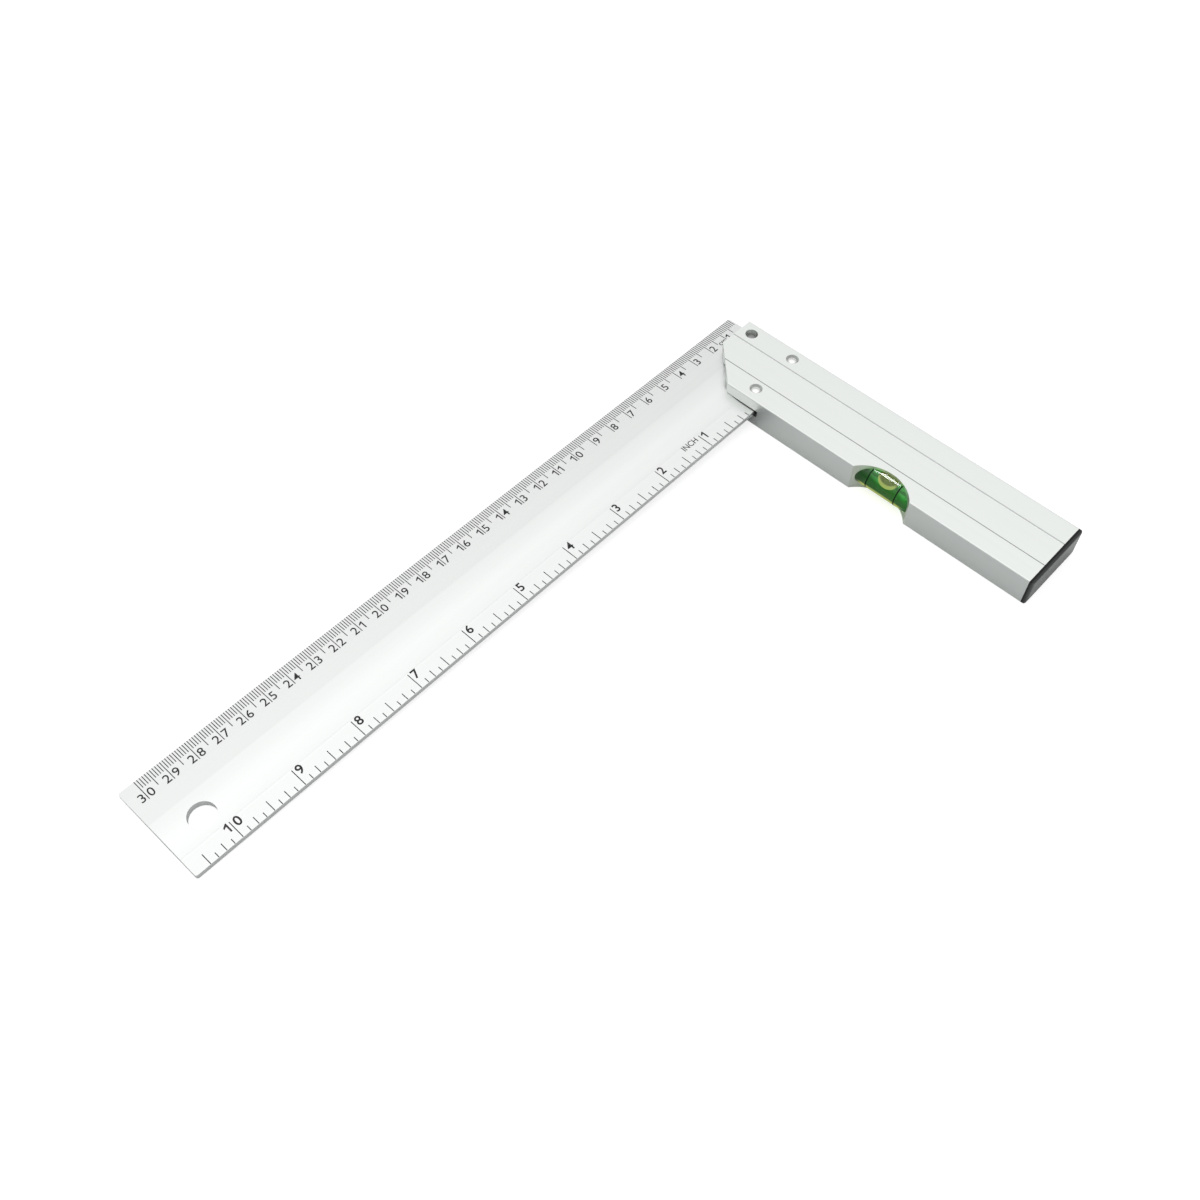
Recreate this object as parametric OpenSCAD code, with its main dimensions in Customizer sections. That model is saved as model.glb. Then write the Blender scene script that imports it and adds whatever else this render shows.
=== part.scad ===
// Try square with a spirit vial, 30 cm and 10 1/2 inch scales.
//
// Frame: X runs along the blade from the outer corner to its free end, Y runs along the
// stock from the outer corner to its capped end, and Z is up. The origin is the outer
// corner, where the blade's outer edge meets the stock's outer face, at the level of the
// stock's underside. The centimetre scale starts at x = 0.

/* [Blade] */
// Length of the blade, from the stock's outer face to the free end
blade_l = 306.2; // [200:0.1:420]
// Width of the blade, from its outer edge to its inner edge
blade_w = 41.4; // [39:0.1:48]
// Thickness at the thin outer edge, which carries the centimetre scale
blade_edge_t = 1.1; // [0.8:0.1:1.6]
// Thickness at the middle of the crown
blade_crown_t = 2.9; // [2.8:0.1:3]
// Thickness of the flat strip that carries the inch scale
blade_flat_t = 2.1; // [1.8:0.1:2.4]
// Distance from the outer edge to the start of the crown
crown_start = 16.2; // [14:0.1:18]
// Distance from the outer edge to the end of the crown
crown_end = 33.4; // [31:0.1:35]
// Rise of the crown above its own edges, on each face
crown_rise = 0.3; // [0.1:0.05:0.4]
// Height of the crown's edge above the sloping strip beside it
crown_lip = 0.05; // [0.03:0.01:0.1]
// Radius of the blade's corners in plan
blade_corner_r = 0.8; // [0.3:0.1:2]
// Diameter of the hanging hole
hang_d = 10; // [6:0.5:12]
// Distance from the free end to the centre of the hanging hole
hang_inset = 14.1; // [12:0.1:30]
// Distance from the outer edge to the centre of the hanging hole
hang_y = 26.1; // [22:0.1:27]

/* [Stock] */
// Width of the stock, from its outer face to its inner working face
stock_w = 33.7; // [32:0.1:36]
// Thickness of the stock
stock_t = 12.7; // [12:0.1:14]
// Distance from the blade's outer edge to the stock's corner end
stock_start = 10.7; // [6:0.1:14]
// Distance from the blade's outer edge to the stock's capped end
stock_end = 167.9; // [150:0.1:200]
// Length of each leg of the 45 degree cut at the inner corner
nose_cut = 16.6; // [10:0.1:18]
// Radius of the extrusion's long outer corners
stock_corner_r = 0.45; // [0.2:0.05:0.8]
// Distance from the outer face to the wide groove
wide_groove_x = 10.5; // [8:0.1:13]
// Width of the wide groove
wide_groove_w = 0.8; // [0.4:0.1:1.2]
// Distance from the outer face to the fine groove
fine_groove_x = 23.7; // [22:0.1:25]
// Width of the fine groove
fine_groove_w = 0.36; // [0.2:0.02:0.6]
// Thickness of the walls over the outer chamber
chamber_wall = 2.6; // [1.8:0.1:3]
// Distance from the outer face to the outer chamber
chamber_start = 2.2; // [1.8:0.1:3]
// Distance from the outer face to the end of the outer chamber
chamber_end = 17.2; // [14:0.1:18]

/* [Blade slot] */
// Height of the slot that the blade sits in
slot_h = 3.1; // [3.05:0.05:3.8]
// Distance that the slot runs past the blade's inner edge
slot_spare = 1.5; // [0.5:0.1:3]

/* [Vial window] */
// Distance from the blade's outer edge to the middle of the window
window_y = 102.4; // [90:0.1:115]
// Length of the window along the working face
window_l = 26.1; // [20:0.1:30]
// Depth of the window into the stock
window_depth = 7; // [5.5:0.1:8]

/* [Vial] */
// Outer diameter of the vial, and diameter of the channel it sits in
vial_d = 10.3; // [9.6:0.1:10.8]
// Distance from the outer face to the vial's axis
vial_x = 27.2; // [26.8:0.1:28]
// Length of the vial
vial_l = 36; // [30:0.5:44]
// Distance from the blade's outer edge to the middle of the vial
vial_y = 101.9; // [95:0.1:110]
// Diameter of the vial's bore
bore_d = 8; // [7:0.1:8.4]
// Length of the bore's solid closed end, and of the plug at the other end
vial_end_l = 3; // [2:0.1:5]
// Distance between the two black lines
line_gap = 13; // [10:0.1:16]
// Width of each black line
line_w = 0.45; // [0.3:0.05:0.8]
// Depth of the groove that holds each black line
line_depth = 0.15; // [0.1:0.05:0.3]
// Length of the bubble
bubble_l = 8.6; // [7:0.1:11]
// Diameter of the bubble
bubble_d = 5.2; // [4:0.1:5.6]
// Distance from the vial's middle to the bubble's middle, towards the cap
bubble_shift = 0.3; // [-4:0.1:4]

/* [Rivets] */
// Diameter of the rivets' shanks
rivet_d = 3.2; // [2.5:0.1:4]
// Diameter of a rivet's recess at the face
recess_d = 5.2; // [4.6:0.1:5.6]
// Diameter of a rivet's recess at its floor
recess_floor_d = 4.2; // [3.8:0.1:4.4]
// Depth of the two ordinary recesses
recess_depth = 0.9; // [0.6:0.1:1.2]
// Depth of the recess at the corner rivet, which is driven deeper
deep_recess_depth = 1.9; // [1.3:0.1:2.2]
// Height of a rivet's domed head
head_h = 0.6; // [0.3:0.05:0.8]

/* [End cap] */
// Thickness of the cap's flange
cap_flange_t = 1.8; // [1.6:0.1:4]
// Radius of the flange's upright outer edges
cap_side_r = 1.4; // [0.6:0.1:1.5]
// Radius of the flange's upper and lower outer edges
cap_edge_r = 1; // [0.5:0.1:1.4]
// Length of the plugs that grip the extrusion
cap_plug_l = 9; // [6:0.5:14]

/* [Hidden] */
$fn = 64;

// Segments on the large arcs of the crown and the window
arc_fn = 240;
// Margin by which a cutting shape runs past what it cuts
over = 1;

// Heights: the blade and the vial both sit at the stock's middle
mid_z = stock_t / 2;

// Crown arc through the crown's two edges and its rise
crown_mid = (crown_start + crown_end) / 2;
crown_half = (crown_end - crown_start) / 2;
crown_r = (crown_half * crown_half / crown_rise + crown_rise) / 2;
// Thickness of the sloping strip where it meets the crown
slope_end_t = blade_crown_t - 2 * (crown_rise + crown_lip);
// Width of the small slope between the crown and the inch strip
crown_step_w = 0.8;

// Window arc through the window's length and depth
window_r = (window_l * window_l / 4 / window_depth + window_depth) / 2;
window_x = stock_w - window_depth + window_r;

// Blade slot
slot_l = blade_w + slot_spare - stock_start;

// Outer chamber
chamber_w = chamber_end - chamber_start;
chamber_h = stock_t - 2 * chamber_wall;
chamber_corner_r = 0.8;

// Rivet centres in plan
corner_rivet = [5.3, 16.1];
outer_rivet = [5.1, 37.2];
inner_rivet = [28.0, 37.0];
// Space between a rivet's head and the wall of its recess, at the floor
head_gap = 0.05;

// Vial
vial_r = vial_d / 2;
bore_r = bore_d / 2;
vial_start = vial_y - vial_l / 2;
bore_l = vial_l - 2 * vial_end_l;
bore_start = vial_start + vial_end_l;
// Film of liquid between the bubble and the bore
bubble_film = 0.2;
// Space between the bubble and its channel in the liquid
bubble_space = 0.3;
bubble_r = bubble_d / 2;
bubble_y = vial_y + bubble_shift;
bubble_z = mid_z + bore_r - bubble_film - bubble_r;

// Plugs of the end cap
plug_gap = 0.1;
plug_wall = 1.2;

// ---- shared shapes -------------------------------------------------------------------

// A flat rectangle from [0, 0] to size, with round corners
module rounded_rect(size, r) {
    translate([r, 0]) square([size.x - 2 * r, size.y]);
    translate([0, r]) square([size.x, size.y - 2 * r]);
    for (x = [r, size.x - r], y = [r, size.y - r]) translate([x, y]) circle(r);
}

// A solid along +Y whose section is drawn with x as X and y as Z
module along_y(start, length) {
    translate([0, start + length, 0]) rotate([90, 0, 0]) linear_extrude(length) children();
}

// A solid along +X whose section is drawn with x as Y and y as Z
module along_x(start, length) {
    translate([start, 0, 0]) rotate([90, 0, 90]) linear_extrude(length) children();
}

// A round bar along +Y, centred on the vial's axis
module vial_bar(start, length, r) {
    translate([vial_x, start + length, mid_z]) rotate([90, 0, 0]) cylinder(length, r = r);
}

// Holes through everything at the three rivets
module rivet_holes() {
    for (p = [corner_rivet, outer_rivet, inner_rivet])
        translate([p.x, p.y, -over]) cylinder(stock_t + 2 * over, d = rivet_d);
}

// ---- blade ---------------------------------------------------------------------------

// The section before the crown is rounded, with a flat-topped step in its place
module stepped_section() {
    upper = [
        [0, blade_edge_t / 2],
        [crown_start, slope_end_t / 2],
        [crown_start, blade_crown_t / 2],
        [crown_end, blade_crown_t / 2],
        [crown_end, slope_end_t / 2],
        [crown_end + crown_step_w, blade_flat_t / 2],
        [blade_w, blade_flat_t / 2]
    ];
    last = len(upper) - 1;
    lower = [for (i = [last : -1 : 0]) [upper[i].x, -upper[i].y]];
    polygon(concat(upper, lower));
}

// What the crown's arc leaves of the upper step
module over_crown() {
    difference() {
        translate([crown_start - over, 0])
            square([2 * (crown_half + over), blade_crown_t]);
        translate([crown_mid, blade_crown_t / 2 - crown_r]) circle(crown_r, $fn = arc_fn);
    }
}

module blade_section() {
    translate([0, mid_z])
    difference() {
        stepped_section();
        over_crown();
        mirror([0, 1]) over_crown();
    }
}

module blade() {
    color("gainsboro")
    difference() {
        intersection() {
            along_x(0, blade_l) blade_section();
            linear_extrude(stock_t) rounded_rect([blade_l, blade_w], blade_corner_r);
        }
        translate([blade_l - hang_inset, hang_y, 0]) cylinder(stock_t, d = hang_d);
        rivet_holes();
    }
}

// ---- stock ---------------------------------------------------------------------------

// A V groove in the upper face, half as deep as it is wide
module groove_section(x, width) {
    translate([x, stock_t]) rotate(45) square(width / sqrt(2), center = true);
}

module grooves_section() {
    groove_section(wide_groove_x, wide_groove_w);
    groove_section(fine_groove_x, fine_groove_w);
}

module stock_section() {
    difference() {
        rounded_rect([stock_w, stock_t], stock_corner_r);
        translate([vial_x, mid_z]) circle(vial_r);
        translate([chamber_start, chamber_wall])
            rounded_rect([chamber_w, chamber_h], chamber_corner_r);
        grooves_section();
        translate([0, stock_t]) mirror([0, 1]) grooves_section();
    }
}

// The slot for the blade, open at the outer face, the corner end and the working face
module blade_slot() {
    translate([-over, stock_start - over, mid_z - slot_h / 2])
        cube([stock_w + 2 * over, slot_l + over, slot_h]);
}

// The 45 degree cut at the inner corner, beside the blade
module nose_cutter() {
    translate([0, 0, -over]) linear_extrude(stock_t + 2 * over) polygon([
        [stock_w - nose_cut - over, stock_start - over],
        [stock_w + over, stock_start + nose_cut + over],
        [stock_w + over, stock_start - over]
    ]);
}

// The conical seat of one rivet, in the upper face
module recess(p, depth) {
    slope = (recess_d - recess_floor_d) / 2 / depth;
    translate([p.x, p.y, stock_t - depth])
        cylinder(depth + over, r1 = recess_floor_d / 2, r2 = recess_d / 2 + slope * over);
}

module recesses() {
    recess(corner_rivet, deep_recess_depth);
    recess(outer_rivet, recess_depth);
    recess(inner_rivet, recess_depth);
}

module stock() {
    color("silver")
    difference() {
        along_y(stock_start, stock_end - stock_start) stock_section();
        blade_slot();
        nose_cutter();
        translate([window_x, window_y, -over])
            cylinder(stock_t + 2 * over, r = window_r, $fn = arc_fn);
        rivet_holes();
        recesses();
        translate([0, 0, stock_t]) mirror([0, 0, 1]) recesses();
    }
}

// ---- rivets --------------------------------------------------------------------------

// A rivet with a domed head at each end, each head lying on the floor of its recess
module rivet(p, depth) {
    shank_l = stock_t - 2 * depth;
    head_r = recess_floor_d / 2 - head_gap;
    dome_r = (head_r * head_r / head_h + head_h) / 2;
    color("whitesmoke")
    translate([p.x, p.y, mid_z]) {
        cylinder(shank_l, d = rivet_d, center = true);
        for (up = [0, 1]) mirror([0, 0, up]) translate([0, 0, shank_l / 2])
            intersection() {
                translate([0, 0, head_h - dome_r]) sphere(dome_r);
                cylinder(head_h, r = head_r);
            }
    }
}

module rivet_corner() { rivet(corner_rivet, deep_recess_depth); }

module rivet_outer() { rivet(outer_rivet, recess_depth); }

module rivet_inner() { rivet(inner_rivet, recess_depth); }

// ---- end cap -------------------------------------------------------------------------

// The flange is the common part of its three rounded outlines
module cap_flange() {
    intersection() {
        along_y(stock_end, cap_flange_t) rounded_rect([stock_w, stock_t], stock_corner_r);
        linear_extrude(stock_t) translate([0, stock_end - cap_flange_t])
            rounded_rect([stock_w, 2 * cap_flange_t], cap_side_r);
        along_x(0, stock_w) translate([stock_end - cap_flange_t, 0])
            rounded_rect([2 * cap_flange_t, stock_t], cap_edge_r);
    }
}

// Hollow plug that grips the outer chamber
module chamber_plug() {
    plug = [chamber_w - 2 * plug_gap, chamber_h - 2 * plug_gap];
    along_y(stock_end - cap_plug_l, cap_plug_l)
    translate([chamber_start + plug_gap, chamber_wall + plug_gap])
    difference() {
        rounded_rect(plug, chamber_corner_r);
        translate([plug_wall, plug_wall])
            rounded_rect(plug - [2 * plug_wall, 2 * plug_wall], chamber_corner_r / 2);
    }
}

// Hollow round plug that grips the vial's channel
module channel_plug() {
    difference() {
        vial_bar(stock_end - cap_plug_l, cap_plug_l, vial_r - plug_gap);
        vial_bar(stock_end - cap_plug_l - over, cap_plug_l + over, vial_r - plug_gap - plug_wall);
    }
}

module end_cap() {
    color("#202224") {
        cap_flange();
        chamber_plug();
        channel_plug();
    }
}

// ---- vial ----------------------------------------------------------------------------

// One black line, a ring that fills its groove in the tube
module line_ring(y) {
    difference() {
        vial_bar(y - line_w / 2, line_w, vial_r);
        vial_bar(y - line_w / 2 - over, line_w + 2 * over, vial_r - line_depth);
    }
}

module vial_tube() {
    color([0.80, 0.92, 0.72, 0.45])
    difference() {
        vial_bar(vial_start, vial_l, vial_r);
        vial_bar(bore_start, bore_l + vial_end_l + over, bore_r);
        for (side = [-1, 1]) line_ring(vial_y + side * line_gap / 2);
    }
}

module vial_plug() {
    color("darkseagreen") vial_bar(bore_start + bore_l, vial_end_l, bore_r);
}

// The liquid leaves a clear channel along the top of the bore, where the bubble runs
module vial_liquid() {
    color([0.25, 0.62, 0.28, 0.75])
    difference() {
        vial_bar(bore_start, bore_l, bore_r);
        translate([vial_x, bore_start + bore_l + over, bubble_z])
            rotate([90, 0, 0]) cylinder(bore_l + 2 * over, r = bubble_r + bubble_space);
    }
}

// A capsule with round ends, just under the top of the bore
module vial_bubble() {
    straight = bubble_l - bubble_d;
    color([0.93, 0.97, 0.80, 0.6])
    translate([vial_x, bubble_y + straight / 2, bubble_z]) {
        rotate([90, 0, 0]) cylinder(straight, r = bubble_r);
        sphere(bubble_r);
        translate([0, -straight, 0]) sphere(bubble_r);
    }
}

module vial_line_near() {
    color("black") line_ring(vial_y - line_gap / 2);
}

module vial_line_far() {
    color("black") line_ring(vial_y + line_gap / 2);
}

blade();
stock();
end_cap();
rivet_corner();
rivet_outer();
rivet_inner();
vial_tube();
vial_plug();
vial_liquid();
vial_bubble();
vial_line_near();
vial_line_far();
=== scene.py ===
"""Looks of the try square with a spirit vial.

The CAD nodes of the metal, the rivets and the cap stay and get finishes, with painted shade and
painted highlights in those of the metal and the rivets. The printed scales are thin solids laid
on the blade, and the vial's glass, liquid and bubble are remade with surfaces that light can pass
through cleanly; a painted glow in the liquid, along the tube's lower front edge and round the
bubble stands in for light passed through the dye. The scene is in metres, in the row frame: X
along the blade, Y along the stock, Z up.
Sections headed "millimetres" hold sizes in millimetres, which MM turns into metres.
"""

import math

import bmesh
import bpy
from mathutils import Matrix, Vector
from mathutils.bvhtree import BVHTree


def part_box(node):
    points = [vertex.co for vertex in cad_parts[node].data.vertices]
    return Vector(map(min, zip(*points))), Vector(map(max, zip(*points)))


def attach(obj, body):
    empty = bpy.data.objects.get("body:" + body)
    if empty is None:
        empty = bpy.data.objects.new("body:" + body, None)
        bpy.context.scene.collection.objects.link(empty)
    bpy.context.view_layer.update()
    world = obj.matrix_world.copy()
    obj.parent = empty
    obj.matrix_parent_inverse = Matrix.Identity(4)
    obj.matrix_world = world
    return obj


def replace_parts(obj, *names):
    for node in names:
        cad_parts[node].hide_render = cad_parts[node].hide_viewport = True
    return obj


MM = 0.001
DOWN = Vector((0, 0, -1))
RIVETS = ("rivet_corner", "rivet_outer", "rivet_inner")

# ---- scales printed on the blade (millimetres) ---------------------------------------------

CM_TICK_ENDS = {10: 8.9, 5: 6.7, 1: 4.0}    # where a tick ends, by what its millimetre divides by
CM_LAST = 300
CM_TICK_W = 0.3
CM_DIGIT_H = 3.45
CM_BASELINE = 8.7
CM_GAP = 0.75
CM_EDGE = 0.15             # how far the ticks stay from the blade's outer edge
CM_WORD = {"left": 14.4, "baseline": 8.3, "height": 2.7, "width": 3.8}

INCH = 25.4
INCH_EIGHTHS = 84
INCH_TICK_STARTS = {8: 33.95, 4: 36.7, 2: 38.1, 1: 39.15}    # by what its eighth divides by
INCH_TICK_W = 0.32
INCH_DIGIT_H = 3.6
INCH_BASELINE = 37.2
INCH_GAP = 1.0
INCH_EDGE = 0.1            # and from its inner edge
INCH_WORD = {"left": 68.7, "baseline": 35.8, "height": 2.6, "width": 7.8}

INK_PROUD = 0.02
INK_DEPTH = 0.04
EM_CAP_H = 0.7             # height of the built-in font's figures, for a size of 1
REGULAR, BOLD = 0.006, 0.017   # how far an outline is moved outwards, for a size of 1

# The blade's own folds, which ink laid across them has to follow
CROWN_START = 16.2
CROWN_END = 33.4
FLAT_START = 34.2
BLADE_W = 41.4

# Painted shade and painted highlight on the blade, by distance from its outer edge, for the light
# on its crown and slopes
BLADE_PAINTED_LIGHT = [(0.0, 0.93), (CROWN_START, 0.93), (CROWN_START + 1, 0.99), (26.0, 1.0),
              (CROWN_END, 0.93), (FLAT_START, 0.97), (BLADE_W, 0.97)]

# ---- shading of the stock (millimetres) ------------------------------------------------------

# Painted shade and painted highlight on the stock at its two grooves, by distance from its outer
# face: the wide groove's near wall gets painted shade and its far wall a painted highlight
GROOVE_PAINTED_LIGHT = [(10.05, 1.0), (10.1, 0.72), (10.4, 0.72), (10.45, 1.25), (10.9, 1.25),
                (10.95, 1.0), (23.45, 1.0), (23.5, 0.45), (23.9, 0.45), (23.95, 1.0)]
SEAT_R = 2.6               # reach of the painted shade in a rivet's seat
HEAD_R = 1.35              # radius of a rivet's middle, which gets no painted shade on the rivet
SEAT_SHADE = 0.3           # how dark the painted shade in a seat is beside its rivet
RIM_SHADE = 0.1            # how dark the painted shade on a rivet would be SEAT_R from its axis

# ---- vial (millimetres) ---------------------------------------------------------------------

GLASS_CLEARANCE = 0.05
VIAL_END_T = 3.0
BORE_R = 4.0
LIQUID_CLEARANCE = 0.01
ROUND = 0.4
CORNER_STEPS = 6
BUBBLE_HALF_W = 3.1
BUBBLE_DEPTH = 2.7
BUBBLE_ANCHOR = 0.9        # how far below its top the bubble's ends close
BUBBLE_BLUNTNESS = 0.9     # 1 for an ellipse along the vial, less for blunter ends
BUBBLE_STEPS = 28
SECTION_STEPS = 24
BUBBLE_FILM = 0.15
GLOW_START = 4.25          # where the painted glow starts on the tube's lower front, from its axis
GLOW_FULL = 4.5            # and where it is full
GLOW_FADE = 8.5            # where it starts to fade, to either side of the tube's middle
GLOW_REACH = 10.5          # and where it ends
RING_POINTS = 64

# Directions across the vial: out of the window, and to the tube's lower front edge
OUT_OF_WINDOW = (0.707, 0, 0.707)
LOWER_FRONT = (0.771, 0, -0.637)

# The painted glow in a U round the bubble's front, in shares of its half width and half length:
# where it starts and is full outwards from the middle, and towards the window
BUBBLE_PAINTED_GLOW = (0.82, 0.92)
BUBBLE_FRONT = (0.15, 0.5)
GLOW_SHARE = 0.75
GAS_SHARE = 0.65

ACRYLIC_IOR = 1.49
LIQUID_IOR = 1.36
# colour and strength of the painted glow in the liquid, in place of its dye's fluorescence
DYE_PAINTED_GLOW = (0.18, 1.0, 0.2)
# colour of the painted glow along the tube's edge and round the bubble
PAINTED_GLOW_COLOUR = (0.46, 0.52, 0.15)
# painted olive inside the bubble, for the light seen through less liquid
GAS_SHADE = (0.13, 0.135, 0.02)
DYE_PAINTED_GLOW_STRENGTH = 3.5

# ---- camera and floor -----------------------------------------------------------------------

CAMERA_TARGET = Vector((143.3, 60.3, 8.0)) * MM
CAMERA_DISTANCE = 479.9 * MM
CAMERA_AZIMUTH = math.radians(131.9)
CAMERA_ELEVATION = math.radians(54.7)
CAMERA_ROLL = math.radians(1.52)
LENS = 40.44
SENSOR = 36.0
FLOOR_HALF = 4.0
FLOOR_COLOUR = (0.5, 0.5, 0.5, 1)
FLOOR_LIFT = 0.72          # its own light, which keeps it white as in the photo
FLOOR_MIRRORED = (0.58, 0.59, 0.59, 1)    # its colour as the metal mirrors it

# Light from the room, as (upward part of the direction, brightness)
ROOM_LIGHT = [(0.0, 0.3), (0.3, 0.3), (0.72, 1.0), (1.0, 1.35)]
LEAST_LIGHT = 0.08
SIDE_LIGHT = 0.35          # more on the side of -X and -Y, low down
END_LIGHT = 0.06           # more on the side of +X

# The lamp for the vial, in metres, and its brightness beside white paper's 1
LAMP_DIRECTION = Vector((-0.385, -0.274, 0.88))
LAMP_DISTANCE = 0.5
LAMP_SIZE = (0.32, 0.24)
LAMP_RADIANCE = 15.0


# ---- node helpers ---------------------------------------------------------------------------

def new_material(name):
    material = bpy.data.materials.new(name)
    material.use_nodes = True
    material.node_tree.nodes.clear()
    return material, material.node_tree


def node(nt, kind, inputs=None, **settings):
    """A new node. An input is set to a number or colour, or joined to a socket."""
    made = nt.nodes.new(kind)
    for key, value in settings.items():
        setattr(made, key, value)
    for key, value in (inputs or {}).items():
        if isinstance(value, bpy.types.NodeSocket):
            nt.links.new(value, made.inputs[key])
        else:
            made.inputs[key].default_value = value
    return made


def math_node(nt, operation, a, b=0.0):
    return node(nt, "ShaderNodeMath", {0: a, 1: b}, operation=operation).outputs[0]


def between(nt, value, low, high):
    """value, from 0 to 1, spread from low to high."""
    spread = node(nt, "ShaderNodeMapRange", {"Value": value, "To Min": low, "To Max": high})
    return spread.outputs["Result"]


def streaks(nt, scale, detail=3.0):
    """Noise in the object's own metres, with its own scale along each axis."""
    place = node(nt, "ShaderNodeTexCoord").outputs["Object"]
    stretched = node(nt, "ShaderNodeMapping", {"Vector": place, "Scale": scale})
    noise = node(nt, "ShaderNodeTexNoise", {"Vector": stretched.outputs[0], "Scale": 1.0,
                                            "Detail": detail, "Roughness": 0.6})
    return noise.outputs["Fac"]


def grain_of(nt, scale, detail=3.0):
    """Noise that is as fine along every axis."""
    return streaks(nt, (scale, scale, scale), detail)


def tinted(nt, colour, factor):
    """colour times a number that varies over the surface."""
    return node(nt, "ShaderNodeVectorMath", {0: colour[:3], "Scale": factor},
                operation="SCALE").outputs[0]


def ramp(nt, value, stops):
    """A number that runs straight between stops of (place, number)."""
    made = node(nt, "ShaderNodeValToRGB", {"Fac": value})
    elements = made.color_ramp.elements
    while len(elements) < len(stops):
        elements.new(0.5)
    for element, (place, number) in zip(elements, stops):
        element.position = place
        element.color = (number, number, number, 1)
    return made.outputs["Color"]


# ---- finishes -------------------------------------------------------------------------------

def extruded_metal(name, colour, roughness, along, painted_light=None):
    """Satin anodised aluminium, with the fine lines of the die along one axis, and painted shade
    and painted highlights from the last argument where it is given.
    """
    material, nt = new_material(name)
    fine_scale = [14.0 if axis == along else 5200.0 for axis in range(3)]
    broad_scale = [5.0 if axis == along else 420.0 for axis in range(3)]
    fine = streaks(nt, fine_scale)
    broad = streaks(nt, broad_scale)
    cloud = grain_of(nt, 45.0, 2.0)
    brightness = math_node(nt, "ADD", between(nt, broad, 0.965, 1.005),
                           between(nt, cloud, -0.012, 0.012))
    brightness = math_node(nt, "ADD", brightness, between(nt, fine, -0.015, 0.015))
    # painted shade and painted highlights, multiplied into the colour
    if painted_light is not None:
        brightness = math_node(nt, "MULTIPLY", brightness, painted_light(nt))
    rough = math_node(nt, "ADD", between(nt, fine, roughness - 0.05, roughness + 0.05),
                      between(nt, cloud, -0.02, 0.02))
    lines = node(nt, "ShaderNodeBump", {"Height": fine, "Strength": 0.6, "Distance": 1.5e-6})
    bsdf = node(nt, "ShaderNodeBsdfPrincipled", {
        "Base Color": tinted(nt, colour, brightness),
        "Metallic": 1.0,
        "Roughness": rough,
        "Normal": lines.outputs[0],
    })
    node(nt, "ShaderNodeOutputMaterial", {"Surface": bsdf.outputs[0]})
    return material


def tone_across(nt, axis, width, stops):
    """A number that runs between stops of (millimetres along the axis, number)."""
    place = node(nt, "ShaderNodeTexCoord").outputs["Object"]
    along = node(nt, "ShaderNodeSeparateXYZ", {0: place}).outputs[axis]
    share = math_node(nt, "DIVIDE", along, width)
    return ramp(nt, share, [(at * MM / width, number) for at, number in stops])


def blade_tone(nt):
    """Painted light across the blade: the crown painted a little brighter than the strips that
    carry the scales, for the light on its slopes.
    """
    return tone_across(nt, "Y", blade_hi.y, BLADE_PAINTED_LIGHT)


def rivet_shade(nt, inside, outside):
    """A number by distance from the nearest rivet's axis, for painted shade round the rivets:
    inside up to HEAD_R, outside from SEAT_R on."""
    place = node(nt, "ShaderNodeTexCoord").outputs["Object"]
    flat = node(nt, "ShaderNodeVectorMath", {0: place, 1: (1, 1, 0)}, operation="MULTIPLY")
    nearest = SEAT_R * MM
    for rivet in RIVETS:
        lo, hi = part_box(rivet)
        axis = (lo + hi) / 2
        away = node(nt, "ShaderNodeVectorMath", {0: flat.outputs[0], 1: (axis.x, axis.y, 0)},
                    operation="DISTANCE").outputs["Value"]
        nearest = math_node(nt, "MINIMUM", away, nearest)
    spread = node(nt, "ShaderNodeMapRange", {
        "Value": nearest, "From Min": HEAD_R * MM, "From Max": SEAT_R * MM,
        "To Min": inside, "To Max": outside,
    })
    return spread.outputs["Result"]


def stock_tone(nt):
    """Painted shade and painted highlight in the stock's grooves, and painted shade in the seats
    of its rivets.
    """
    grooves = tone_across(nt, "X", stock_hi.x, GROOVE_PAINTED_LIGHT)
    return math_node(nt, "MULTIPLY", grooves, rivet_shade(nt, SEAT_SHADE, 1.0))


def pressed_metal(name, colour, roughness):
    """The bright rivets, dulled unevenly by the punch, with painted shade round their rims."""
    material, nt = new_material(name)
    blotch = grain_of(nt, 900.0)
    grain = grain_of(nt, 5000.0)
    # painted shade towards each rivet's rim
    brightness = math_node(nt, "MULTIPLY", rivet_shade(nt, 1.0, RIM_SHADE),
                           between(nt, blotch, 0.92, 1.04))
    bump = node(nt, "ShaderNodeBump", {"Height": grain, "Strength": 0.5, "Distance": 4e-6})
    bsdf = node(nt, "ShaderNodeBsdfPrincipled", {
        "Base Color": tinted(nt, colour, brightness),
        "Metallic": 1.0,
        "Roughness": between(nt, blotch, roughness - 0.06, roughness + 0.1),
        "Normal": bump.outputs[0],
    })
    node(nt, "ShaderNodeOutputMaterial", {"Surface": bsdf.outputs[0]})
    return material


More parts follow.
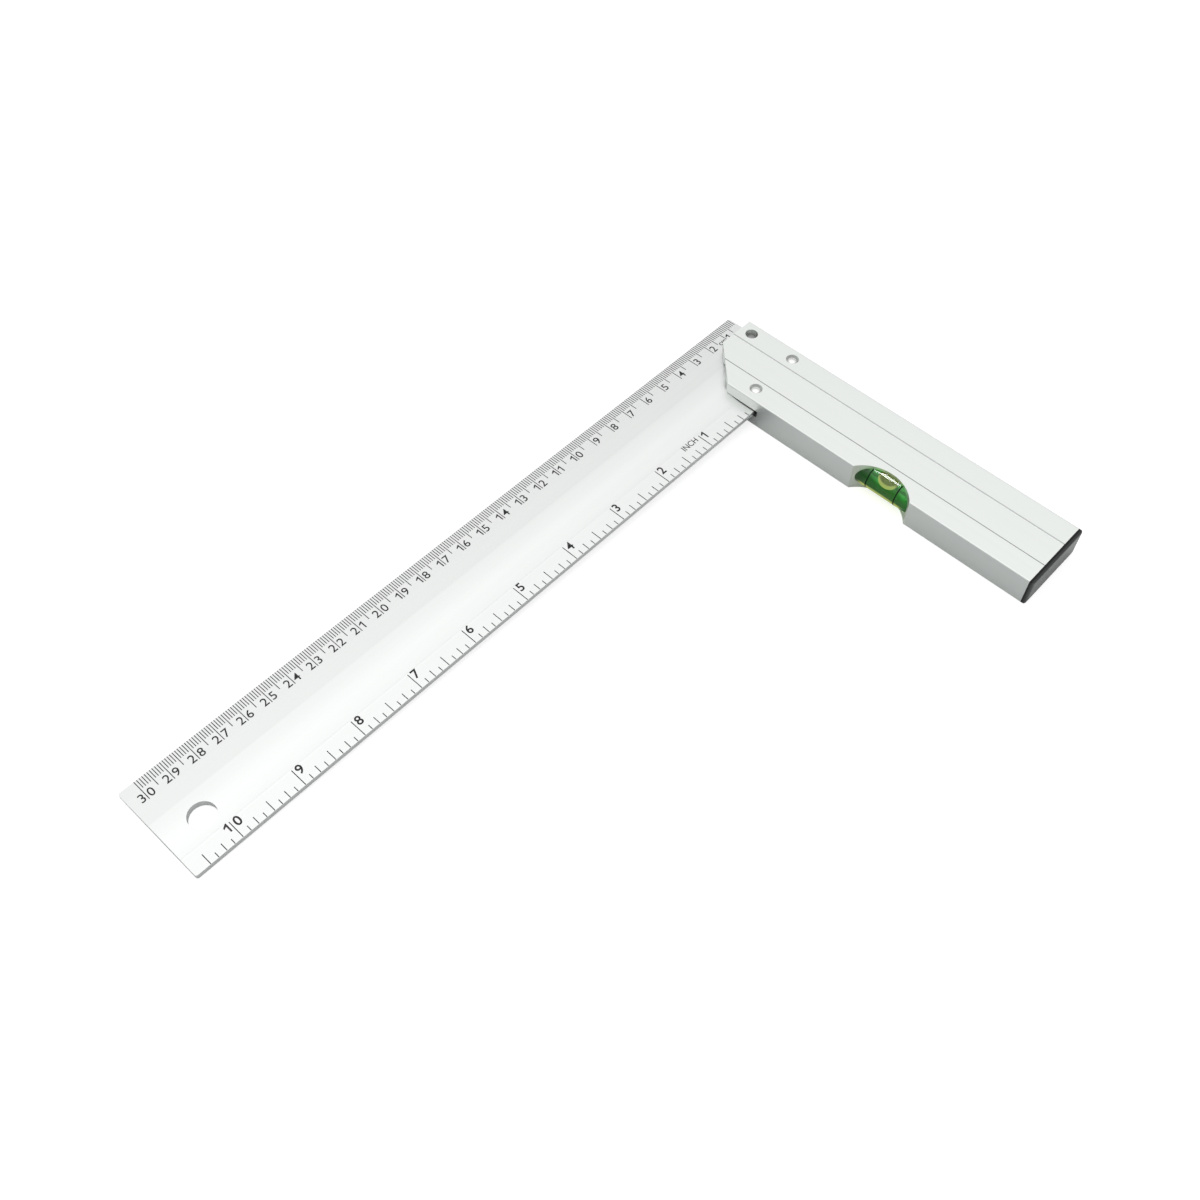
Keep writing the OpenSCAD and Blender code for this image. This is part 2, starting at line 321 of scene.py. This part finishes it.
def moulded_plastic(name, colour, roughness):
    """Black plastic with a faint moulded grain, polished on the face at its far end."""
    material, nt = new_material(name)
    grain = grain_of(nt, 2600.0, 2.0)
    cloud = grain_of(nt, 160.0)
    normal = node(nt, "ShaderNodeNewGeometry").outputs["Normal"]
    towards_end = node(nt, "ShaderNodeSeparateXYZ", {0: normal}).outputs["Y"]
    gloss = node(nt, "ShaderNodeClamp", {"Value": towards_end}).outputs[0]
    bump = node(nt, "ShaderNodeBump", {"Height": grain, "Strength": 0.5, "Distance": 8e-6})
    bsdf = node(nt, "ShaderNodeBsdfPrincipled", {
        "Base Color": tinted(nt, colour, between(nt, cloud, 0.8, 1.3)),
        "Roughness": between(nt, cloud, roughness - 0.05, roughness + 0.08),
        "Specular IOR Level": between(nt, gloss, 0.15, 1.0),
        "Coat Weight": between(nt, gloss, 0.0, 0.9),
        "Coat Roughness": 0.2,
        "Normal": bump.outputs[0],
    })
    node(nt, "ShaderNodeOutputMaterial", {"Surface": bsdf.outputs[0]})
    return material


def ink(name):
    """Printed black, a little thin in places."""
    material, nt = new_material(name)
    thin = grain_of(nt, 700.0, 4.0)
    bsdf = node(nt, "ShaderNodeBsdfPrincipled", {
        "Base Color": tinted(nt, (0.02, 0.02, 0.021), between(nt, thin, 0.5, 1.9)),
        "Roughness": between(nt, thin, 0.42, 0.6),
    })
    node(nt, "ShaderNodeOutputMaterial", {"Surface": bsdf.outputs[0]})
    return material


def from_axis(nt, direction):
    """How far a point lies from the vial's middle along a direction, in metres."""
    place = node(nt, "ShaderNodeTexCoord").outputs["Object"]
    away = node(nt, "ShaderNodeVectorMath", {0: place, 1: vial_axis}, operation="SUBTRACT")
    return node(nt, "ShaderNodeVectorMath", {0: away.outputs[0], 1: direction},
                operation="DOT_PRODUCT").outputs["Value"]


def printed_line(name):
    """The vial's black lines, printed on the half of the tube that faces out of the window."""
    material, nt = new_material(name)
    wear = grain_of(nt, 700.0, 4.0)
    bsdf = node(nt, "ShaderNodeBsdfPrincipled", {
        "Base Color": tinted(nt, (0.006, 0.008, 0.006), between(nt, wear, 0.7, 1.4)),
        "Roughness": between(nt, wear, 0.5, 0.7),
        "Specular IOR Level": 0.1,
    })
    outwards = math_node(nt, "GREATER_THAN", from_axis(nt, OUT_OF_WINDOW), 0.0)
    bare = node(nt, "ShaderNodeBsdfTransparent")
    mixed = node(nt, "ShaderNodeMixShader", {0: outwards, 1: bare.outputs[0],
                                             2: bsdf.outputs[0]})
    node(nt, "ShaderNodeOutputMaterial", {"Surface": mixed.outputs[0]})
    return material


def glowing(nt, shader, share, colour):
    """shader with a share of it replaced by a plain glow."""
    glow = node(nt, "ShaderNodeEmission", {"Color": (*colour, 1), "Strength": 1.0})
    return node(nt, "ShaderNodeMixShader", {0: share, 1: shader, 2: glow.outputs[0]}).outputs[0]


def edge_glow(nt, shader):
    """Painted glow along the tube's lower front edge, for light passed through the dye."""
    ahead = from_axis(nt, LOWER_FRONT)
    share = node(nt, "ShaderNodeMapRange", {
        "Value": ahead, "From Min": GLOW_START * MM, "From Max": GLOW_FULL * MM,
        "To Min": 0.0, "To Max": GLOW_SHARE,
    })
    aside = math_node(nt, "ABSOLUTE", from_axis(nt, (0, 1, 0)))
    fade = node(nt, "ShaderNodeMapRange", {
        "Value": aside, "From Min": GLOW_FADE * MM, "From Max": GLOW_REACH * MM,
        "To Min": 1.0, "To Max": 0.0,
    })
    share = math_node(nt, "MULTIPLY", share.outputs["Result"], fade.outputs["Result"])
    return glowing(nt, shader, share, PAINTED_GLOW_COLOUR)


def bubble_glow(nt, shader):
    """Painted light on the bubble: olive inside, and a painted glow in a U round its front."""
    lo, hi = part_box("vial_bubble")
    middle = (lo + hi) / 2
    place = node(nt, "ShaderNodeTexCoord").outputs["Object"]
    away = node(nt, "ShaderNodeVectorMath", {0: place, 1: middle}, operation="SUBTRACT")
    scale = (1 / (BUBBLE_HALF_W * MM), 2 / (hi.y - lo.y), 0)
    spot = node(nt, "ShaderNodeVectorMath", {0: away.outputs[0], 1: scale},
                operation="MULTIPLY").outputs[0]
    reach = node(nt, "ShaderNodeVectorMath", {0: spot}, operation="LENGTH").outputs["Value"]
    brim = node(nt, "ShaderNodeMapRange", {
        "Value": reach, "From Min": BUBBLE_PAINTED_GLOW[0], "From Max": BUBBLE_PAINTED_GLOW[1],
    }).outputs["Result"]
    ahead = node(nt, "ShaderNodeSeparateXYZ", {0: spot}).outputs["X"]
    front = node(nt, "ShaderNodeMapRange", {
        "Value": ahead, "From Min": BUBBLE_FRONT[0], "From Max": BUBBLE_FRONT[1],
    }).outputs["Result"]
    # painted olive over the bubble's wall
    shaded = glowing(nt, shader, GAS_SHARE, GAS_SHADE)
    share = math_node(nt, "MULTIPLY", math_node(nt, "MULTIPLY", brim, front), GLOW_SHARE)
    return glowing(nt, shaded, share, PAINTED_GLOW_COLOUR)


def clear(name, ior, tint, shadow_tint, glow=None):
    """Clear plastic whose shadow is only tinted, as light through the vial is."""
    material, nt = new_material(name)
    bsdf = node(nt, "ShaderNodeBsdfPrincipled", {
        "Base Color": (*tint, 1), "Roughness": 0.02, "IOR": ior, "Transmission Weight": 1.0,
    })
    wall = bsdf.outputs[0] if glow is None else glow(nt, bsdf.outputs[0])
    shadow_through(nt, wall, shadow_tint)
    return material


def shadow_through(nt, wall, shadow_tint):
    """wall, whose shadow is only tinted."""
    passing = node(nt, "ShaderNodeBsdfTransparent", {"Color": (*shadow_tint, 1)})
    is_shadow = node(nt, "ShaderNodeLightPath").outputs["Is Shadow Ray"]
    mixed = node(nt, "ShaderNodeMixShader", {0: is_shadow, 1: wall, 2: passing.outputs[0]})
    node(nt, "ShaderNodeOutputMaterial", {"Surface": mixed.outputs[0]})


def liquid(name, colour, density):
    """Coloured liquid with a painted glow in it, in place of its dye's fluorescence. The tube's
    bore does the bending, so its own surface bends nothing."""
    material, nt = new_material(name)
    surface = node(nt, "ShaderNodeBsdfTransparent", {"Color": (0.97, 1.0, 0.96, 1)})
    absorbed = node(nt, "ShaderNodeVolumeAbsorption", {"Color": (*colour, 1),
                                                       "Density": density})
    glow = node(nt, "ShaderNodeEmission", {"Color": (*DYE_PAINTED_GLOW, 1), "Strength": DYE_PAINTED_GLOW_STRENGTH})
    inside = node(nt, "ShaderNodeAddShader", {0: absorbed.outputs[0], 1: glow.outputs[0]})
    node(nt, "ShaderNodeOutputMaterial", {"Surface": surface.outputs[0],
                                          "Volume": inside.outputs[0]})
    return material


def gas(name):
    """The bubble's wall, seen from the liquid: light goes from the dense side to the thin one."""
    material, nt = new_material(name)
    wall = node(nt, "ShaderNodeBsdfGlass", {"Color": (1, 1, 0.94, 1), "Roughness": 0.02,
                                            "IOR": 1 / LIQUID_IOR})
    # the wall carries the bubble's painted olive and painted glow
    shadow_through(nt, bubble_glow(nt, wall.outputs[0]), (1, 1, 0.9))
    return material


def finish_node(name, material):
    """Gives a CAD node its finish."""
    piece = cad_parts[name]
    piece.data.materials.clear()
    piece.data.materials.append(material)
    return piece


# ---- mesh helpers ---------------------------------------------------------------------------

def mesh_piece(name, bm, materials, body, smooth=False):
    """Turns bm into an object that rides on a body."""
    bmesh.ops.recalc_face_normals(bm, faces=bm.faces)
    mesh = bpy.data.meshes.new(name)
    bm.to_mesh(mesh)
    bm.free()
    for material in materials:
        mesh.materials.append(material)
    if smooth:
        mesh.shade_smooth()
    piece = bpy.data.objects.new(name, mesh)
    bpy.context.scene.collection.objects.link(piece)
    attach(piece, body)
    return piece


def turned(name, profile, body, materials, inner_from=None):
    """A solid turned about the vial's axis, from (distance along Y, radius) points.

    The first and last points are on the axis. Faces from profile point inner_from on take
    the second material.
    """
    bm = bmesh.new()
    rings = []
    for y, radius in profile:
        if radius == 0:
            rings.append([bm.verts.new((vial_axis.x, y, vial_axis.z))])
            continue
        ring = []
        for k in range(RING_POINTS):
            angle = 2 * math.pi * k / RING_POINTS
            ring.append(bm.verts.new((vial_axis.x + radius * math.cos(angle), y,
                                      vial_axis.z + radius * math.sin(angle))))
        rings.append(ring)
    for index, (a, b) in enumerate(zip(rings, rings[1:])):
        for face in bridge(bm, a, b):
            face.material_index = int(inner_from is not None and index >= inner_from)
    piece = mesh_piece(name, bm, materials, body, smooth=True)
    piece.data.set_sharp_from_angle(angle=math.radians(40))
    return piece


def bridge(bm, a, b):
    """Faces between two rings of the same length, either of which may be a single point."""
    count = max(len(a), len(b))
    faces = []
    for k in range(count):
        m = (k + 1) % count
        if len(a) == 1:
            corners = [a[0], b[k], b[m]]
        elif len(b) == 1:
            corners = [a[k], a[m], b[0]]
        else:
            corners = [a[k], a[m], b[m], b[k]]
        faces.append(bm.faces.new(corners))
    return faces


def arc_points(centre, radius, start, stop, count):
    """Points on an arc, as (x, y), from one angle in degrees to another."""
    points = []
    for k in range(count + 1):
        angle = math.radians(start + (stop - start) * k / count)
        points.append((centre[0] + radius * math.cos(angle),
                       centre[1] + radius * math.sin(angle)))
    return points


# ---- printed scales -------------------------------------------------------------------------

def one_outline(height, stroke):
    """The figure 1: a stem with a flag, as the outline (x, y) from its lower left."""
    flag_w = 0.3 * height
    stem = flag_w
    drop = 0.2 * height
    return [(stem, 0), (stem + stroke, 0), (stem + stroke, height),
            (stem + 0.25 * stroke, height), (0, height - drop - 0.3 * stroke),
            (0, height - drop - 1.35 * stroke), (stem, height - 1.15 * stroke - 0.4 * drop)]


def letters(text, height, weight):
    """Flat faces of the text in a new bmesh, from (0, 0) to its width, and that width."""
    if text == "1":
        bm = bmesh.new()
        stroke = height * (0.125 + 2 * weight / EM_CAP_H)
        outline = one_outline(height, stroke)
        bm.faces.new([bm.verts.new((x, y, 0)) for x, y in outline])
        return bm, max(x for x, y in outline)
    curve = bpy.data.curves.new("letters", "FONT")
    curve.body = text
    curve.size = height / EM_CAP_H
    curve.offset = weight * curve.size
    curve.resolution_u = 4
    holder = bpy.data.objects.new("letters", curve)
    bm = bmesh.new()
    bm.from_mesh(holder.to_mesh())
    holder.to_mesh_clear()
    bpy.data.objects.remove(holder)
    bpy.data.curves.remove(curve)
    low = min(v.co.x for v in bm.verts)
    width = max(v.co.x for v in bm.verts) - low
    bmesh.ops.translate(bm, verts=bm.verts, vec=(-low, 0, 0))
    return bm, width


def print_text(target, text, left, baseline, height, weight=REGULAR, width=None):
    """Adds text that reads towards -X with its top towards -Y. left is where it starts."""
    bm, natural = letters(text, height, weight)
    squeeze = width / natural if width else 1.0
    bmesh.ops.scale(bm, verts=bm.verts, vec=(squeeze, 1, 1))
    turn = Matrix.Translation((left, baseline, 0)) @ Matrix.Rotation(math.pi, 4, "Z")
    bmesh.ops.transform(bm, matrix=turn, verts=bm.verts)
    mesh = bpy.data.meshes.new("text")
    bm.to_mesh(mesh)
    bm.free()
    target.from_mesh(mesh)
    bpy.data.meshes.remove(mesh)
    return natural * squeeze


def print_number(target, number, x, baseline, height, gap, weight=REGULAR):
    """Prints a number at the tick at x: its last figure on the corner side of the tick,
    and a first of two figures on the other side."""
    figures = str(number)
    print_text(target, figures[-1], x - gap, baseline, height, weight)
    if len(figures) == 2:
        bm, width = letters(figures[0], height, weight)
        bm.free()
        print_text(target, figures[0], x + gap + width, baseline, height, weight)


def print_tick(target, x, start, stop, width):
    corners = [(x - width / 2, start), (x + width / 2, start), (x + width / 2, stop),
               (x - width / 2, stop)]
    target.faces.new([target.verts.new((px, py, 0)) for px, py in corners])


def longest(ends, count):
    """The entry for the largest step that count divides by."""
    return next(ends[step] for step in sorted(ends, reverse=True) if count % step == 0)


def centimetre_print():
    bm = bmesh.new()
    for mm in range(1, CM_LAST + 1):
        print_tick(bm, float(mm), CM_EDGE, longest(CM_TICK_ENDS, mm), CM_TICK_W)
    for cm in range(1, CM_LAST // 10 + 1):
        print_number(bm, cm, cm * 10.0, CM_BASELINE, CM_DIGIT_H, CM_GAP)
    print_text(bm, "cm", **CM_WORD)
    return bm


def inch_print(stock_w, blade_w):
    bm = bmesh.new()
    for eighth in range(1, INCH_EIGHTHS + 1):
        x = stock_w + eighth * INCH / 8
        start = longest(INCH_TICK_STARTS, eighth)
        print_tick(bm, x, start, blade_w - INCH_EDGE, INCH_TICK_W)
    for inch in range(1, INCH_EIGHTHS // 8 + 1):
        x = stock_w + inch * INCH
        print_number(bm, inch, x, INCH_BASELINE, INCH_DIGIT_H, INCH_GAP, BOLD)
    print_text(bm, "INCH", **INCH_WORD)
    return bm


def lay_on_blade(name, bm, material):
    """Lays flat print, drawn in millimetres, on the blade's upper face as thin solids."""
    for fold in (CROWN_START, CROWN_END, FLAT_START):
        bmesh.ops.bisect_plane(bm, geom=bm.verts[:] + bm.edges[:] + bm.faces[:],
                               plane_co=(0, fold, 0), plane_no=(0, 1, 0))
    bmesh.ops.scale(bm, verts=bm.verts, vec=(MM, MM, MM))
    surface = BVHTree.FromObject(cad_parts["blade"], bpy.context.evaluated_depsgraph_get())
    for vert in bm.verts:
        hit = surface.ray_cast(Vector((vert.co.x, vert.co.y, 2 * blade_hi.z)), DOWN)[0]
        vert.co.z = hit.z + INK_PROUD * MM
    for face in bm.faces:
        if face.normal.z < 0:
            face.normal_flip()
    sides = bmesh.ops.extrude_face_region(bm, geom=bm.faces[:])["geom"]
    lowered = [v for v in sides if isinstance(v, bmesh.types.BMVert)]
    bmesh.ops.translate(bm, verts=lowered, vec=(0, 0, -INK_DEPTH * MM))
    return mesh_piece(name, bm, [material], "square")


# ---- vial -----------------------------------------------------------------------------------

def make_tube(materials):
    """The clear tube: rounded outside, a bore with a closed end inside."""
    lo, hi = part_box("vial_tube")
    outer = (hi.x - lo.x) / 2 - GLASS_CLEARANCE * MM
    bore = BORE_R * MM
    r = ROUND * MM
    near_corner = arc_points((lo.y + r, outer - r), r, 180, 90, CORNER_STEPS)
    far_corner = arc_points((hi.y - r, outer - r), r, 90, 0, CORNER_STEPS)
    bore_end = lo.y + VIAL_END_T * MM
    outside = [(lo.y, 0.0), *near_corner, *far_corner, (hi.y, bore)]
    inside = [*arc_points((bore_end + r, bore - r), r, 90, 180, CORNER_STEPS), (bore_end, 0.0)]
    tube = turned("vial_glass", outside + inside, "square", materials,
                  inner_from=len(outside) - 1)
    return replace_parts(tube, "vial_tube")


def make_liquid(material):
    lo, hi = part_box("vial_liquid")
    clearance = LIQUID_CLEARANCE * MM
    radius = BORE_R * MM - clearance
    r = ROUND * MM
    start, stop = lo.y + clearance, hi.y - clearance
    profile = [(start, 0.0), *arc_points((start + r, radius - r), r, 180, 90, CORNER_STEPS),
               *arc_points((stop - r, radius - r), r, 90, 0, CORNER_STEPS), (stop, 0.0)]
    body = turned("vial_green_liquid", profile, "square", [material])
    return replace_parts(body, "vial_liquid")


def bubble_section():
    """The bubble across the vial: its top lies along the bore, its underside hangs free."""
    reach = BORE_R - BUBBLE_FILM
    half_angle = math.degrees(math.asin(BUBBLE_HALF_W / reach))
    top = arc_points((0, 0), reach, 90 - half_angle, 90 + half_angle, SECTION_STEPS)
    brim = top[0][1]
    below = []
    for k in range(1, SECTION_STEPS):
        angle = math.pi + math.pi * k / SECTION_STEPS
        below.append((BUBBLE_HALF_W * math.cos(angle), brim + BUBBLE_DEPTH * math.sin(angle)))
    return top + below


def make_bubble(material):
    lo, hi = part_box("vial_bubble")
    middle, half = (lo.y + hi.y) / 2, (hi.y - lo.y) / 2
    section = bubble_section()
    anchor = BORE_R - BUBBLE_FILM - BUBBLE_ANCHOR
    bm = bmesh.new()
    rings = []
    for k in range(BUBBLE_STEPS + 1):
        turn = math.pi * k / BUBBLE_STEPS
        y = middle - half * math.cos(turn)
        size = math.sin(turn) ** BUBBLE_BLUNTNESS
        if k in (0, BUBBLE_STEPS):
            rings.append([bm.verts.new((vial_axis.x, y, vial_axis.z + anchor * MM))])
            continue
        rings.append([bm.verts.new((vial_axis.x + px * size * MM, y,
                                    vial_axis.z + (anchor + (pz - anchor) * size) * MM))
                      for px, pz in section])
    for a, b in zip(rings, rings[1:]):
        bridge(bm, a, b)
    bubble = mesh_piece("vial_air_bubble", bm, [material], "bubble", smooth=True)
    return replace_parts(bubble, "vial_bubble")


# ---- stage, light and camera ----------------------------------------------------------------

def make_floor():
    """The table. The square leans on the stock's inner lower edge and the blade's free end,
    so the table is tilted a little in the row frame."""
    material, nt = new_material("white_table")
    path = node(nt, "ShaderNodeLightPath").outputs
    mirrored = math_node(nt, "MULTIPLY", path["Is Glossy Ray"],
                         math_node(nt, "SUBTRACT", 1.0, path["Is Transmission Ray"]))
    seen = node(nt, "ShaderNodeBsdfDiffuse", {"Color": FLOOR_COLOUR})
    lift = node(nt, "ShaderNodeEmission", {"Color": (1, 1, 1, 1), "Strength": FLOOR_LIFT})
    bright = node(nt, "ShaderNodeAddShader", {0: seen.outputs[0], 1: lift.outputs[0]})
    dim = node(nt, "ShaderNodeBsdfDiffuse", {"Color": FLOOR_MIRRORED})
    front = node(nt, "ShaderNodeMixShader", {0: mirrored, 1: bright.outputs[0],
                                             2: dim.outputs[0]})
    below = node(nt, "ShaderNodeBsdfTransparent")
    back = node(nt, "ShaderNodeNewGeometry").outputs["Backfacing"]
    whole = node(nt, "ShaderNodeMixShader", {0: back, 1: front.outputs[0], 2: below.outputs[0]})
    node(nt, "ShaderNodeOutputMaterial", {"Surface": whole.outputs[0]})

    lean = math.atan2(blade_lo.z, blade_hi.x - stock_hi.x)
    bm = bmesh.new()
    bmesh.ops.create_grid(bm, x_segments=8, y_segments=8, size=FLOOR_HALF)
    place = Matrix.Translation((stock_hi.x, 0, 0)) @ Matrix.Rotation(-lean, 4, "Y")
    bmesh.ops.transform(bm, matrix=place, verts=bm.verts)
    mesh = bpy.data.meshes.new("table_top")
    bm.to_mesh(mesh)
    bm.free()
    mesh.materials.append(material)
    floor = bpy.data.objects.new("table_top", mesh)
    bpy.context.scene.collection.objects.link(floor)


def make_world():
    """A bright ceiling over darker walls, the darkest of them on the side the square faces."""
    world = bpy.data.worlds.new("studio")
    bpy.context.scene.world = world
    world.use_nodes = True
    nt = world.node_tree
    nt.nodes.clear()
    place = node(nt, "ShaderNodeTexCoord").outputs["Generated"]
    axes = node(nt, "ShaderNodeSeparateXYZ", {0: place}).outputs
    ceiling = ramp(nt, axes["Z"], ROOM_LIGHT)
    facing = math_node(nt, "ADD", math_node(nt, "MULTIPLY", axes["X"], -0.5),
                       math_node(nt, "MULTIPLY", axes["Y"], -0.5))
    side = math_node(nt, "MULTIPLY", facing, between(nt, axes["Z"], SIDE_LIGHT, 0.0))
    strength = math_node(nt, "ADD", ceiling, side)
    strength = math_node(nt, "ADD", strength, math_node(nt, "MULTIPLY", axes["X"], END_LIGHT))
    strength = math_node(nt, "MAXIMUM", strength, LEAST_LIGHT)
    is_camera = node(nt, "ShaderNodeLightPath").outputs["Is Camera Ray"]
    strength = math_node(nt, "MAXIMUM", strength, is_camera)
    sky = node(nt, "ShaderNodeBackground", {"Color": (1, 1, 1, 1), "Strength": strength})
    node(nt, "ShaderNodeOutputWorld", {"Surface": sky.outputs[0]})


def point_at(piece, target):
    piece.rotation_mode = "QUATERNION"
    piece.rotation_quaternion = (target - piece.location).to_track_quat("-Z", "Y")


def soft_light(name, place, target, size, power, only=None):
    lamp = bpy.data.lights.new(name, "AREA")
    lamp.shape = "RECTANGLE"
    lamp.size, lamp.size_y = size
    lamp.energy = power
    holder = bpy.data.objects.new(name, lamp)
    holder.location = place
    point_at(holder, target)
    holder.visible_camera = False
    bpy.context.scene.collection.objects.link(holder)
    if only is not None:
        holder.light_linking.receiver_collection = only
    return holder


def light_vial():
    """A long lamp behind the vial, which only the vial's glass mirrors as a white band."""
    glass = bpy.data.collections.new("lit_glass")
    glass.objects.link(bpy.data.objects["vial_glass"])
    place = vial_axis + LAMP_DIRECTION * LAMP_DISTANCE
    area = LAMP_SIZE[0] * LAMP_SIZE[1]
    soft_light("vial_lamp", place, vial_axis, LAMP_SIZE, LAMP_RADIANCE * math.pi * area, glass)


def make_camera():
    data = bpy.data.cameras.new("camera")
    data.sensor_width = SENSOR
    data.lens = LENS
    data.clip_start, data.clip_end = 0.01, 50
    camera = bpy.data.objects.new("camera", data)
    flat = math.cos(CAMERA_ELEVATION)
    back = Vector((math.sin(CAMERA_AZIMUTH) * flat, -math.cos(CAMERA_AZIMUTH) * flat,
                   math.sin(CAMERA_ELEVATION)))
    camera.location = CAMERA_TARGET + back * CAMERA_DISTANCE
    camera.rotation_mode = "QUATERNION"
    level = (-back).to_track_quat("-Z", "Y")
    camera.rotation_quaternion = level @ Matrix.Rotation(CAMERA_ROLL, 3, "Z").to_quaternion()
    bpy.context.scene.collection.objects.link(camera)
    bpy.context.scene.camera = camera


# ---- the scene ------------------------------------------------------------------------------

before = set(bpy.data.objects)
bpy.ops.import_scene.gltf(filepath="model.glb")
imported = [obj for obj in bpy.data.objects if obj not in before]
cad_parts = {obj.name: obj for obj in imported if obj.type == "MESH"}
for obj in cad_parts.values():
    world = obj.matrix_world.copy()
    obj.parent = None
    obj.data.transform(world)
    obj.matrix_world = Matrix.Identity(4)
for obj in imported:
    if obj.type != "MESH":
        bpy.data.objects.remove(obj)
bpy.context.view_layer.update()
blade_lo, blade_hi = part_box("blade")
stock_lo, stock_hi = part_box("stock")
tube_lo, tube_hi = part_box("vial_tube")
vial_axis = (tube_lo + tube_hi) / 2

# the blade's and the stock's finishes carry painted shade and painted highlights
blade_metal = extruded_metal("blade_metal_satin", (0.90, 0.915, 0.905), 0.36, 0, blade_tone)
stock_metal = extruded_metal("stock_metal_satin", (0.875, 0.905, 0.88), 0.4, 1, stock_tone)
rivet_metal = pressed_metal("rivet_metal_bright", (0.9, 0.9, 0.89), 0.22)
cap_plastic = moulded_plastic("cap_plastic_black", (0.012, 0.0125, 0.0135), 0.32)
black_ink = ink("black_ink_print")
line_ink = printed_line("black_ink_vial")

finish_node("blade", blade_metal)
finish_node("stock", stock_metal)
finish_node("end_cap", cap_plastic)
for rivet in RIVETS[1:]:
    finish_node(rivet, rivet_metal)
# the corner rivet's darker colour is painted shade, for the pit it sits in
finish_node("rivet_corner", pressed_metal("rivet_metal_painted_pit_shade", (0.3, 0.3, 0.3), 0.3))
for line in ("vial_line_near", "vial_line_far"):
    finish_node(line, line_ink)

lay_on_blade("scale_centimetres", centimetre_print(), black_ink)
lay_on_blade("scale_inches", inch_print(stock_hi.x / MM, blade_hi.y / MM), black_ink)

# the acrylic carries a painted glow along the tube's lower front edge
acrylic = clear("vial_acrylic_clear", ACRYLIC_IOR, (0.93, 0.98, 0.84), (0.9, 0.95, 0.55),
                edge_glow)
bore_wall = clear("vial_acrylic_bore", ACRYLIC_IOR / LIQUID_IOR, (1, 1, 1), (1, 1, 1))
green = liquid("vial_fluid_green", (0.08, 0.74, 0.24), 195.0)
finish_node("vial_plug", acrylic)
make_tube([acrylic, bore_wall])
make_liquid(green)
make_bubble(gas("bubble_gas_clear"))

make_floor()
make_world()
light_vial()
make_camera()
bpy.context.scene.view_settings.view_transform = "Standard"
